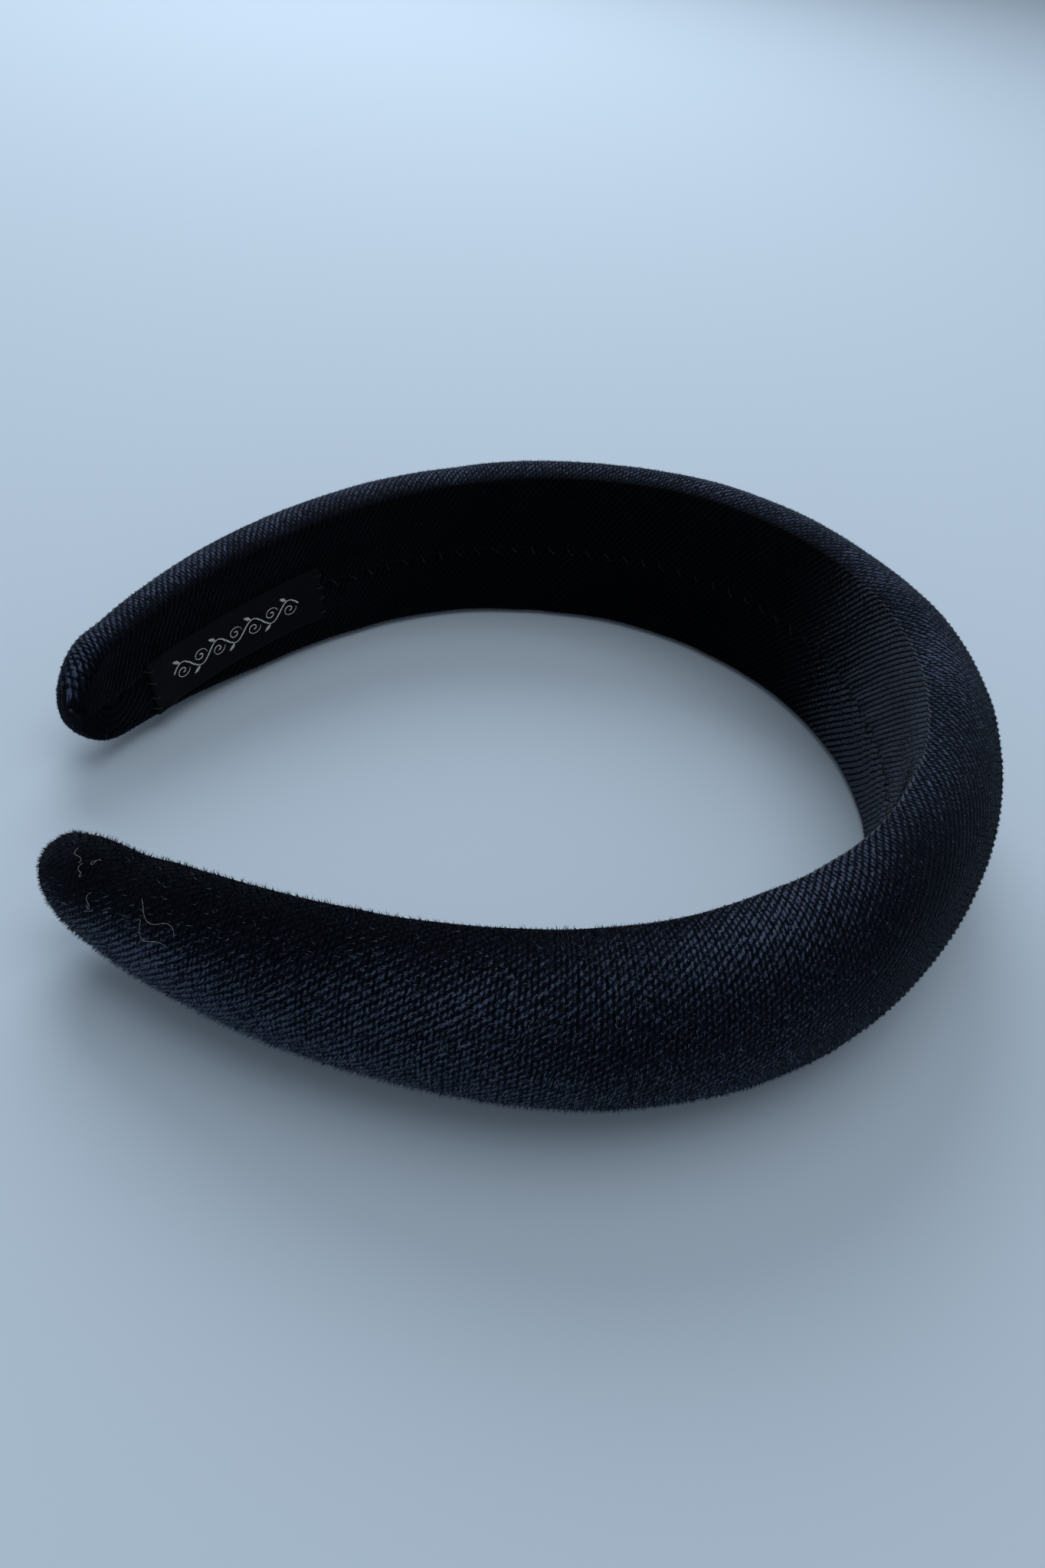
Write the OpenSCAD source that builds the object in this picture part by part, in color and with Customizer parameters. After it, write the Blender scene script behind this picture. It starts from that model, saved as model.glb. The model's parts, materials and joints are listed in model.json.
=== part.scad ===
// A padded velvet headband lying on its side edge.
// +X points to the crown, +Y to the left arm, +Z up. The band is built in its own flat plane
// and then leaned by rest_lean. It balances there on the lower edge of both arms, at z = 0.

/* [Band curve] */
// Radius of the core's middle surface round the crown
crown_radius = 60; // [56:1:64]
// Half of the angle that the crown arc turns through
crown_turn = 66; // [62:1:70]
// Radius of the core round each shoulder
shoulder_radius = 72; // [68:1:78]
// Angle that each shoulder arc turns through
shoulder_turn = 44; // [38:1:48]
// Radius of the core along each arm
arm_radius = 138; // [120:1:160]
// Angle that each arm turns through, down to its tip
arm_turn = 29; // [24:1:32]

/* [Padded section] */
// Half of the band's width at the crown, over the cover
crown_half_width = 19.6; // [17:0.1:22]
// Half of the band's width at the tips, before they round off
tip_half_width = 9.6; // [8:0.1:12]
// Height of the padded dome above the core's middle surface at the crown
crown_loft = 14.8; // [12:0.1:20]
// Height of the dome at the tips
tip_loft = 7.6; // [6:0.1:10]
// Depth of the head-side face below the core's middle surface
face_depth = 2.2; // [2:0.1:3]
// Width of the flat head-side face as a share of the band's width
face_share = 0.94; // [0.85:0.01:0.98]
// Length over which each tip rounds off
tip_round = 10; // [7:0.5:14]

/* [Layers] */
// Thickness of the velvet cover with its pile
cover_wall = 0.8; // [0.6:0.1:1]
// Thickness of the plastic core
core_wall = 1.8; // [1.4:0.1:2]
// Thickness of the double-sided tape between core and foam
tape_wall = 0.15; // [0.1:0.05:0.2]
// Clearance between neighbouring layers
layer_gap = 0.12; // [0.1:0.01:0.2]

/* [Label] */
// Length of the woven label
label_length = 42; // [36:1:48]
// Width of the woven label
label_width = 12; // [10:0.5:14]
// Thickness of one layer of the label
label_wall = 0.35; // [0.25:0.05:0.5]
// Length of the end turned under at each end of the label
label_fold = 5; // [3:0.5:7]
// Distance from the tip to the label's nearer end
label_from_tip = 16; // [14:1:24]
// Drop of the label's middle below the seam
label_drop = 2.4; // [0:0.1:3]
// Lean of the label against the seam, lower towards the tip
label_lean = 3.7; // [0:0.1:5]

/* [Thread] */
// Distance between seam stitches
stitch_pitch = 4.2; // [3:0.1:6]
// Length of one seam stitch
stitch_length = 2.2; // [1.5:0.1:3]
// Radius of the sewing thread
thread_radius = 0.2; // [0.15:0.05:0.25]
// Lean of a seam stitch against the band's width
stitch_lean = 35; // [20:1:50]

/* [Resting] */
// Lean of the band's plane when it lies balanced on the edges of its two arms
rest_lean = 2.6; // [2.4:0.1:2.8]

/* [Hidden] */
$fn = 96;
degree = PI / 180;

crown_length = crown_radius * crown_turn * degree;
shoulder_length = shoulder_radius * shoulder_turn * degree;
arm_length = arm_radius * arm_turn * degree;
shoulder_end = crown_length + shoulder_length;
half_length = shoulder_end + arm_length;
full_turn = crown_turn + shoulder_turn + arm_turn;

flex_cut = 0.6;           // slit across the core and tape at each flex line
soft_cut = 0.1;           // slit across the foam and cover there
station_step = 6.5;       // spacing of the swept rings
dome_sides = 14;          // facets over the dome
corner_sides = 3;         // facets round each lower corner
widest_share = 0.15;      // height of the widest line, as a share of the loft
least_depth = 0.2;        // of a section, above and below its widest line
tip_width_power = 2.2;
tip_loft_power = 2.6;
tip_face_power = 5;
core_inset = 2.4;         // from the cover's outer side edge to the core's edge
core_tip_inset = 2;       // from the cover's tip to the core's tip
foam_tip_inset = 2.4;

// Centres of the three arcs, with the crown's arc centred on the origin
shoulder_centre = (crown_radius - shoulder_radius) * heading(crown_turn);
arm_centre = shoulder_centre
    + (shoulder_radius - arm_radius) * heading(crown_turn + shoulder_turn);

function heading(turn) = [cos(turn), sin(turn)];

// Angle of the outward normal at a distance s along the band from the crown
function turn_at(s) =
    s < crown_length ? s / crown_radius / degree :
    s < shoulder_end ? crown_turn + (s - crown_length) / shoulder_radius / degree :
    crown_turn + shoulder_turn + (s - shoulder_end) / arm_radius / degree;
function radius_at(s) =
    s < crown_length ? crown_radius : s < shoulder_end ? shoulder_radius : arm_radius;
function centre_at(s) =
    s < crown_length ? [0, 0] : s < shoulder_end ? shoulder_centre : arm_centre;

// Point at distance s along the band, height n over the core's middle and width z.
// A negative s is on the right arm.
function place(s, n, z) =
    let (a = abs(s), p = centre_at(a) + (radius_at(a) + n) * heading(turn_at(a)))
    [p.x, s < 0 ? -p.y : p.y, z];

// Band sizes at s, for a surface that lies inset below the cover's outer surface
function along(s) = min(abs(s) / half_length, 1);
function rounding(s, inset, power) =
    let (q = (abs(s) - (half_length - inset - tip_round)) / tip_round)
    q <= 0 ? 1 : q >= 1 ? 0 : pow(1 - pow(q, power), 1 / power);
function full_half_width(s) =
    crown_half_width + (tip_half_width - crown_half_width) * pow(along(s), 2);
function full_loft(s) = crown_loft + (tip_loft - crown_loft) * pow(along(s), 2);
function widest_at(s) = widest_share * full_loft(s);

// D-shaped section [n, z] between the head-side face and the dome
function section(top, bottom, widest, w) =
    let (middle = max(widest, bottom + least_depth), flat = face_share * w)
    concat(
        [for (i = [0 : dome_sides]) let (a = 180 * i / dome_sides)
            [middle + (top - middle) * sin(a), w * cos(a)]],
        [for (i = [1 : corner_sides]) let (a = 90 * i / corner_sides)
            [middle + (bottom - middle) * sin(a), -flat - (w - flat) * cos(a)]],
        [for (i = [corner_sides : -1 : 1]) let (a = 90 * i / corner_sides)
            [middle + (bottom - middle) * sin(a), flat + (w - flat) * cos(a)]]
    );
// Ring whose sides lie inset below the cover, and whose tip ends tip_inset short of it
function ring(s, inset, tip_inset, floor_n) =
    let (
        w = (full_half_width(s) - inset) * rounding(s, tip_inset, tip_width_power),
        top = widest_at(s)
            + (full_loft(s) - inset - widest_at(s)) * rounding(s, tip_inset, tip_loft_power),
        bottom = widest_at(s)
            + (floor_n - widest_at(s)) * rounding(s, tip_inset, tip_face_power)
    )
    [for (p = section(top, min(bottom, top - least_depth), widest_at(s), w))
        place(s, p[0], p[1])];

// Distances at which rings are swept: evenly along the band, closer round the tip
function stations(from, to) =
    let (count = ceil((to - from) / station_step))
    [for (i = [0 : count]) from + (to - from) * i / count];
function arm_stations(from, inset) =
    let (round_start = half_length - inset - tip_round)
    concat(stations(from, round_start), [for (a = [15 : 15 : 75]) round_start + tip_round * sin(a)],
        [round_start + tip_round * 0.995]);

// Closed solid through rings of equal point count
module sweep(rings) {
    sides = len(rings[0]);
    last = len(rings) - 1;
    polyhedron(
        points = [for (r = rings) each r],
        faces = concat(
            [[for (j = [0 : sides - 1]) j]],
            [[for (j = [sides - 1 : -1 : 0]) last * sides + j]],
            [for (i = [0 : last - 1], j = [0 : sides - 1]) let (k = (j + 1) % sides)
                [i * sides + j, (i + 1) * sides + k, i * sides + k]],
            [for (i = [0 : last - 1], j = [0 : sides - 1]) let (k = (j + 1) % sides)
                [i * sides + j, (i + 1) * sides + j, (i + 1) * sides + k]]
        ),
        convexity = 6
    );
}
module padded_crown(reach, inset, floor_n) {
    sweep([for (s = stations(-reach, reach)) ring(s, inset, 0, floor_n)]);
}
module padded_arm(from, inset, tip_inset, floor_n) {
    sweep([for (s = arm_stations(from, tip_inset)) ring(s, inset, tip_inset, floor_n)]);
}

// Arc strip from height low to high, between two normal directions about one centre
module arc_strip(centre, radius, from_turn, to_turn, low, high) {
    translate([centre.x, centre.y, 0])
        rotate([0, 0, from_turn])
            rotate_extrude(angle = to_turn - from_turn)
                translate([radius + low, -crown_half_width])
                    square([high - low, 2 * crown_half_width]);
}
// Block whose outline, seen from the side, is the core's width along the band
module strip_outline(side_inset, tip_inset) {
    steps = stations(0, half_length - tip_inset - 0.05);
    edge = [for (s = steps)
        [place(s, 0, 0).x,
         (full_half_width(s) * face_share - side_inset) * rounding(s, tip_inset, tip_width_power)]];
    nose = edge[0].x + 4;
    rotate([90, 0, 0])
        linear_extrude(height = 4 * crown_radius, center = true)
            polygon(concat([[nose, edge[0].y]], edge,
                [for (i = [len(edge) - 1 : -1 : 0]) [edge[i].x, -edge[i].y]], [[nose, -edge[0].y]]));
}
module strip_crown(low, high, side_inset, cut) {
    spare = cut / 2 / crown_radius / degree;
    intersection() {
        arc_strip([0, 0], crown_radius, -crown_turn + spare, crown_turn - spare, low, high);
        strip_outline(side_inset, core_tip_inset);
    }
}
module strip_arm(low, high, side_inset, cut) {
    spare = cut / 2 / shoulder_radius / degree;
    arm_start = crown_turn + shoulder_turn;
    intersection() {
        union() {
            arc_strip(shoulder_centre, shoulder_radius, crown_turn + spare, arm_start, low, high);
            arc_strip(arm_centre, arm_radius, arm_start, full_turn, low, high);
        }
        strip_outline(side_inset, core_tip_inset);
    }
}

// Moulded plastic core
core_low = -core_wall / 2;
core_high = core_wall / 2;
core_side = core_inset - (1 - face_share) * crown_half_width;
module core_crown() {
    color("ivory") strip_crown(core_low, core_high, core_side, flex_cut);
}
module core_left_arm() {
    color("ivory") strip_arm(core_low, core_high, core_side, flex_cut);
}
module core_right_arm() {
    mirror([0, 1, 0]) core_left_arm();
}

// Double-sided tape that holds the foam on the core
tape_low = core_high + layer_gap / 4;
tape_high = tape_low + tape_wall;
tape_side = core_side + 1.5;
module tape_crown() {
    color("gold") strip_crown(tape_low, tape_high, tape_side, flex_cut);
}
module tape_left_arm() {
    color("gold") strip_arm(tape_low, tape_high, tape_side, flex_cut);
}
module tape_right_arm() {
    mirror([0, 1, 0]) tape_left_arm();
}

// Foam pad: a dome on the outside of the core
foam_inset = cover_wall + layer_gap;
foam_floor = tape_high + layer_gap;
module foam_crown() {
    color("lightyellow") padded_crown(crown_length - soft_cut / 2, foam_inset, foam_floor);
}
module foam_left_arm() {
    color("lightyellow")
        padded_arm(crown_length + soft_cut / 2, foam_inset, foam_tip_inset, foam_floor);
}
module foam_right_arm() {
    mirror([0, 1, 0]) foam_left_arm();
}

// Velvet cover: a closed tube of fabric round the core and the foam
cavity_floor = -face_depth + cover_wall;
module cover_crown() {
    color("midnightblue") difference() {
        padded_crown(crown_length - soft_cut / 2, 0, -face_depth);
        padded_crown(crown_length + soft_cut, cover_wall, cavity_floor);
    }
}
module cover_left_arm() {
    color("midnightblue") difference() {
        padded_arm(crown_length + soft_cut / 2, 0, 0, -face_depth);
        padded_arm(crown_length - soft_cut, cover_wall, cover_wall, cavity_floor);
    }
}
module cover_right_arm() {
    mirror([0, 1, 0]) cover_left_arm();
}

// Slip stitches that close the cover along the middle of the head-side face
stitch_n = -face_depth - thread_radius - layer_gap;
label_near = half_length - label_from_tip;
label_far = label_near - label_length;
stitch_count = floor((half_length - tip_round) / stitch_pitch);
function under_label(s) = s > label_far - 1 && s < label_near + 1;
module seam_stitch(s) {
    turn = turn_at(abs(s)) * (s < 0 ? -1 : 1);
    translate(place(s, stitch_n, 0))
        rotate([0, 0, turn])
            rotate([stitch_lean, 0, 0])
                cylinder(h = stitch_length, r = thread_radius, center = true, $fn = 8);
}
module seam_thread(from, to) {
    color("dimgray")
        for (i = [-stitch_count : stitch_count])
            let (s = (i + 0.5) * stitch_pitch)
                if (s > from && s < to && !under_label(s)) seam_stitch(s);
}
module seam_thread_crown() {
    seam_thread(-crown_length + stitch_pitch / 2, crown_length - stitch_pitch / 2);
}
module seam_thread_left_arm() {
    seam_thread(crown_length + stitch_pitch / 2, half_length - tip_round / 2);
}
module seam_thread_right_arm() {
    seam_thread(-half_length + tip_round / 2, -crown_length - stitch_pitch / 2);
}

// Woven label with both ends turned under, on the head-side face of the left arm
label_top = -face_depth - layer_gap;
fold_inset = 0.1;         // of a turned-under end within the label's edges
module label_layer(from, to, low, high, width) {
    arc_from = turn_at(from);
    arc_to = turn_at(to);
    translate([arm_centre.x, arm_centre.y, 0])
        rotate([0, 0, arc_from])
            rotate_extrude(angle = arc_to - arc_from)
                translate([arm_radius + label_top + low, -width / 2])
                    square([high - low, width]);
}
// Leans its children against the seam about the middle of the label
module on_label() {
    middle = (label_near + label_far) / 2;
    pivot = place(middle, label_top, 0);
    turn = turn_at(middle);
    translate([0, 0, -label_drop])
        translate(pivot) rotate([0, 0, turn]) rotate([-label_lean, 0, 0]) rotate([0, 0, -turn])
            translate(-pivot) children();
}
module woven_label() {
    color("darkslategray") on_label() {
        label_layer(label_far, label_near, -2 * label_wall, -label_wall, label_width);
        for (from = [label_far + fold_inset, label_near - label_fold])
            label_layer(from, from + label_fold - fold_inset, -1.5 * label_wall, 0,
                label_width - 2 * fold_inset);
    }
}

// Tacking stitches that hold each end of the label
label_stitches = 4;
module label_stitch(s, z) {
    translate(place(s, label_top - 2 * label_wall - thread_radius - layer_gap / 2, z))
        rotate([0, 0, turn_at(s)])
            rotate([90, 0, 0])
                cylinder(h = stitch_length, r = thread_radius, center = true, $fn = 8);
}
module label_thread() {
    color("dimgray") on_label()
        for (s = [label_far + stitch_length, label_near - stitch_length])
            for (i = [0 : label_stitches - 1])
                label_stitch(s, label_width * ((i + 0.5) / label_stitches - 0.5));
}

// The band is leaned, lifted so that it rests on z = 0, and centred on x = 0
function leaned(p) =
    [p.x * cos(rest_lean) - p.z * sin(rest_lean), p.y, p.x * sin(rest_lean) + p.z * cos(rest_lean)];
skin = [
    for (s = concat(stations(0, crown_length), arm_stations(crown_length, 0)))
        each [for (p = ring(s, 0, 0, -face_depth)) leaned(p)]
];
middle_x = (min([for (p = skin) p.x]) + max([for (p = skin) p.x])) / 2;
lowest = min([for (p = skin) p.z]);
module resting() {
    translate([-middle_x, 0, -lowest]) rotate([0, -rest_lean, 0]) children();
}

resting() core_crown();
resting() core_left_arm();
resting() core_right_arm();
resting() tape_crown();
resting() tape_left_arm();
resting() tape_right_arm();
resting() foam_crown();
resting() foam_left_arm();
resting() foam_right_arm();
resting() cover_crown();
resting() cover_left_arm();
resting() cover_right_arm();
resting() seam_thread_crown();
resting() seam_thread_left_arm();
resting() seam_thread_right_arm();
resting() woven_label();
resting() label_thread();
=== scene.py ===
"""A padded velvet headband: a ribbed cover with its pile, seam and woven label, over foam and a core."""
import json
import math

import bpy
import numpy as np
from mathutils import Matrix, Vector

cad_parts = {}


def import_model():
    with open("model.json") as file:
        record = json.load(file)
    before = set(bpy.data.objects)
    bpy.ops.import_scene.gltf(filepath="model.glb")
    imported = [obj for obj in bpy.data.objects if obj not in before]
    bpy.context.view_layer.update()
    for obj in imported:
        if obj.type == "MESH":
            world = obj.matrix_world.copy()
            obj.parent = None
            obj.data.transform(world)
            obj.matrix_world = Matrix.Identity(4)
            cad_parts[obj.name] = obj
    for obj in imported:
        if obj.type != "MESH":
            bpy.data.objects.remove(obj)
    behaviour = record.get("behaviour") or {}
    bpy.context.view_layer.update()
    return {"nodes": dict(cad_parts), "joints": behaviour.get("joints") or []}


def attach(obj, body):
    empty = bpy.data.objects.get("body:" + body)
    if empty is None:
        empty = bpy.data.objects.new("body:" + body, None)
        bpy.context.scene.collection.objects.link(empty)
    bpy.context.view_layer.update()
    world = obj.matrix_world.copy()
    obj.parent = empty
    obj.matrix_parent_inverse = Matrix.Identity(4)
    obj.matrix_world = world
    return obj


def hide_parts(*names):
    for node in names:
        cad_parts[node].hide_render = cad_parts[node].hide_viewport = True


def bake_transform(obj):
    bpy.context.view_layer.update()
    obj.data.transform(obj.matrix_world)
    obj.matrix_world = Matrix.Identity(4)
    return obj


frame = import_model()
SEED = 20
random = np.random.default_rng(SEED)

# ---------------------------------------------------------------- sizes, in millimetres
MM = 0.001
CROWN_RADIUS, CROWN_TURN = 60.0, math.radians(66)
SHOULDER_RADIUS, SHOULDER_TURN = 72.0, math.radians(44)
ARM_RADIUS, ARM_TURN = 138.0, math.radians(29)
CROWN_LENGTH = CROWN_RADIUS * CROWN_TURN
SHOULDER_END = CROWN_LENGTH + SHOULDER_RADIUS * SHOULDER_TURN
HALF_LENGTH = SHOULDER_END + ARM_RADIUS * ARM_TURN

CROWN_HALF_WIDTH, TIP_HALF_WIDTH = 19.6, 9.6
CROWN_LOFT, TIP_LOFT = 14.8, 7.6
FACE_DEPTH = 2.2          # of the head-side face below the core's middle
CROWN_FACE_SHARE, TIP_FACE_SHARE = 0.94, 0.8    # flat part of the section's width
WIDEST_SHARE = 0.15
TIP_ROUND = 10.0
TIP_WIDTH_POWER, TIP_LOFT_POWER, TIP_FACE_POWER = 2.2, 2.6, 5.0

# Padding adds to the even width, dome and middle at places along the band: (amount, place, reach)
WIDTH_PADDING = [(1.2, 155, 30), (0.5, -120, 44)]
LOFT_PADDING = [(1.4, -2, 20), (-1.6, -54, 18), (-0.7, -150, 28), (1.8, 134, 26)]
SIDE_PADDING = [(1.1, -122, 44)]

ROW_PITCH = 1.04          # between the velvet's rows
RIGHT_ROW_TURN, LEFT_ROW_TURN = 37.0, 56.0      # degrees from the band's length to the rows
ROW_MIDDLE = 30.0         # distance from the seam where the rows keep that pitch exactly
UNDER = 18.0              # how far past that middle the rows of the under side begin
UNDER_SHARE = 0.57        # distance across those rows for each millimetre round the band
TUFT_PITCH = 0.69         # between the tufts of a row, along the band
TUFT_SPREAD = 0.16        # of the fibres about the middle of their tuft
PILE_LENGTH = 0.85
BLADE_HALF_WIDTH = 0.068
STITCH_PITCH = 4.2
SEAM_THREAD_RADIUS, LINT_RADIUS = 0.12, 0.015
FOAM_INSET, FOAM_FLOOR, FOAM_TIP_INSET = 1.5, 1.2, 2.4     # of the foam inside the cover

# ---------------------------------------------------------------- the band's curve in the row frame
flex = {j["name"]: j for j in frame["joints"]}["right_arm_flex"]
LEAN = math.atan2(-flex["axis"][0], flex["axis"][2])
lean_matrix = np.array([
    [math.cos(LEAN), 0, -math.sin(LEAN)],
    [0, 1, 0],
    [math.sin(LEAN), 0, math.cos(LEAN)],
])
flex_in_band = np.array([math.cos(CROWN_TURN), -math.sin(CROWN_TURN), 0]) * CROWN_RADIUS
band_origin = np.array(flex["pos_m"]) / MM - lean_matrix @ flex_in_band


def heading(turn):
    return np.stack([np.cos(turn), np.sin(turn)], -1)


shoulder_centre = (CROWN_RADIUS - SHOULDER_RADIUS) * heading(CROWN_TURN)
arm_centre = shoulder_centre + (SHOULDER_RADIUS - ARM_RADIUS) * heading(CROWN_TURN + SHOULDER_TURN)


def place(s, n, z):
    """Points in the row frame, in metres: s along the band from the crown, with the right arm
    negative, n outwards from the core's middle, z across the band."""
    s, n, z = np.broadcast_arrays(*(np.asarray(a, float) for a in (s, n, z)))
    a = np.abs(s)
    on_crown, on_shoulder = a < CROWN_LENGTH, a < SHOULDER_END
    turn = np.where(
        on_crown, a / CROWN_RADIUS,
        np.where(on_shoulder, CROWN_TURN + (a - CROWN_LENGTH) / SHOULDER_RADIUS,
                 CROWN_TURN + SHOULDER_TURN + (a - SHOULDER_END) / ARM_RADIUS))
    radius = np.where(on_crown, CROWN_RADIUS, np.where(on_shoulder, SHOULDER_RADIUS, ARM_RADIUS))
    centre = np.where(on_crown[..., None], 0.0,
                      np.where(on_shoulder[..., None], shoulder_centre, arm_centre))
    p = centre + (radius + n)[..., None] * heading(turn)
    band = np.stack([p[..., 0], p[..., 1] * np.where(s < 0, -1, 1), z], -1)
    return (band @ lean_matrix.T + band_origin) * MM


def bump(x, middle, reach):
    """1 at the middle, falling smoothly to 0 beyond its reach on both sides."""
    return np.exp(-((x - middle) / reach) ** 2)


def step_up(x, middle, width):
    """0 well below the middle, 1 well above it."""
    return 1 / (1 + np.exp(-(x - middle) / width))


def towards_tip(s, at_crown, at_tip):
    """A size that changes from the crown to the tips, slowly at first."""
    return at_crown + (at_tip - at_crown) * (np.abs(s) / HALF_LENGTH) ** 2


def with_padding(even, s, places):
    """An even size with what the padding adds to it at s."""
    for amount, place_along, reach in places:
        even = even + amount * bump(s, place_along, reach)
    return even


def full_half_width(s):
    return with_padding(towards_tip(s, CROWN_HALF_WIDTH, TIP_HALF_WIDTH), s, WIDTH_PADDING)


def full_loft(s):
    """Height of the dome over the core's middle."""
    return with_padding(towards_tip(s, CROWN_LOFT, TIP_LOFT), s, LOFT_PADDING)


def wrap_shift(s):
    """How far the padding sits off the core's middle, across the band."""
    return with_padding(0.0, s, SIDE_PADDING)


def rounding(s, power, inset=0.0):
    """1 along the band, falling to 0 round each tip."""
    q = np.clip((np.abs(s) - (HALF_LENGTH - inset - TIP_ROUND)) / TIP_ROUND, 0, 1)
    return (1 - q ** power) ** (1 / power)


def smooth_noise(x, y, seed):
    """Noise from -1 to 1 with features about one unit apart. It repeats after a lattice's width."""
    width, height = 97, 89
    lattice = np.random.default_rng(seed).uniform(-1, 1, (width, height))
    i, j = np.floor(x).astype(int), np.floor(y).astype(int)
    u, v = x - i, y - j
    u, v = u * u * (3 - 2 * u), v * v * (3 - 2 * v)

    def at(a, b):
        return lattice[a % width, b % height]
    low = at(i, j) * (1 - u) + at(i + 1, j) * u
    high = at(i, j + 1) * (1 - u) + at(i + 1, j + 1) * u
    return low * (1 - v) + high * v


# ---------------------------------------------------------------- the cloth's rows
def row_turn(s):
    """Angle from the band's length to the rows. The bias cut turns them more steeply past the crown, and it
    wavers along the right arm."""
    change = (LEFT_ROW_TURN - RIGHT_ROW_TURN) * step_up(s, -5, 15)
    along_right = 0.03 * np.minimum(s, 0)
    waver = 3.5 * bump(s, -105, 35)
    return np.radians(RIGHT_ROW_TURN + change + along_right + waver)


turn_stations = np.linspace(-HALF_LENGTH, HALF_LENGTH, 801)
turn_step = turn_stations[1] - turn_stations[0]
rows_passed = np.cumsum(np.sin(row_turn(turn_stations))) * turn_step


def tip_extra(s):
    """How much farther it is over the cloth to s than along the core, as a tip rounds off."""
    share_of_half_width = 0.75
    return share_of_half_width * TIP_HALF_WIDTH * (1 - rounding(s, TIP_WIDTH_POWER))


def rows_along(s):
    """Distance across the rows gained by going along the band to s."""
    return np.interp(s, turn_stations, rows_passed) + np.sign(s) * tip_extra(s) * np.sin(row_turn(s))


def row_wander(s, t):
    """How far the rows stray from their even places, in long and short waves."""
    long_waves = 0.4 * smooth_noise(s / 14 + 40, t / 14 + 40, seed=3)
    return long_waves + 0.1 * smooth_noise(s / 5 + 40, t / 5 + 40, seed=7)


def before_low_side(t):
    """t measured from ROW_MIDDLE, but levelling off at UNDER, where the cloth turns under."""
    soft = 5
    return UNDER - soft * np.log1p(np.exp((UNDER - (t - ROW_MIDDLE)) / soft))


def across_rows(s, t):
    """Distance across the rows, in millimetres, at s along the band and t round it from the seam."""
    upper = before_low_side(t)
    round_band = upper * np.cos(row_turn(s)) + (t - ROW_MIDDLE - upper) * UNDER_SHARE
    return round_band + rows_along(s) + row_wander(s, t)


def t_of_row(s, across):
    """The t at which across_rows(s, t) has a given value, found by Newton's steps."""
    steps, nearby, least_slope = 8, 0.05, 0.3
    t = ROW_MIDDLE + (across - rows_along(s)) / np.cos(row_turn(s))
    for _ in range(steps):
        slope = (across_rows(s, t + nearby) - across_rows(s, t - nearby)) / (2 * nearby)
        missing = across - across_rows(s, t)
        t = np.clip(t + missing / np.maximum(slope, least_slope), -60, 200)
    return t


# ---------------------------------------------------------------- mesh helpers
def new_mesh_object(name, points, faces, material, smooth=True):
    mesh = bpy.data.meshes.new(name)
    mesh.from_pydata([tuple(p) for p in points], [], [tuple(f) for f in faces])
    mesh.polygons.foreach_set("use_smooth", [smooth] * len(mesh.polygons))
    mesh.materials.append(material)
    mesh.update()
    piece = bpy.data.objects.new(name, mesh)
    bpy.context.scene.collection.objects.link(piece)
    return piece


def set_cloth_uv(piece, uv):
    piece.data.uv_layers.new(name="cloth").data.foreach_set("uv", uv.astype(np.float32).ravel())


def grid_faces(rows, columns, wrap=False, first=0):
    """Quads of a grid of points stored row by row. wrap joins the last column to the first."""
    across = columns if wrap else columns - 1
    i, j = np.meshgrid(np.arange(rows - 1), np.arange(across), indexing="ij")
    k = (j + 1) % columns
    corners = [i * columns + j, i * columns + k, (i + 1) * columns + k, (i + 1) * columns + j]
    quads = np.stack(corners, -1)
    return (quads.reshape(-1, 4) + first).tolist()


def end_caps(rows, columns, first=0):
    """The two faces that close a wrapped grid at its first and last rows."""
    start = list(range(first, first + columns))
    last = first + (rows - 1) * columns
    return [start[::-1], list(range(last, last + columns))]


def bend_with_arm(piece):
    """Bakes the piece's placement into its mesh."""
    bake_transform(piece)


SIDES = {"left": 1, "right": -1}

# ---------------------------------------------------------------- materials
def new_material(name, **sockets):
    """A Principled material, with each named socket set directly. Returns it with its node helper."""
    material = bpy.data.materials.new(name)
    material.use_nodes = True
    shader = material.node_tree.nodes["Principled BSDF"]
    for socket, value in sockets.items():
        shader.inputs[socket.replace("_", " ")].default_value = value
    return material, Nodes(material.node_tree, shader)


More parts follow.
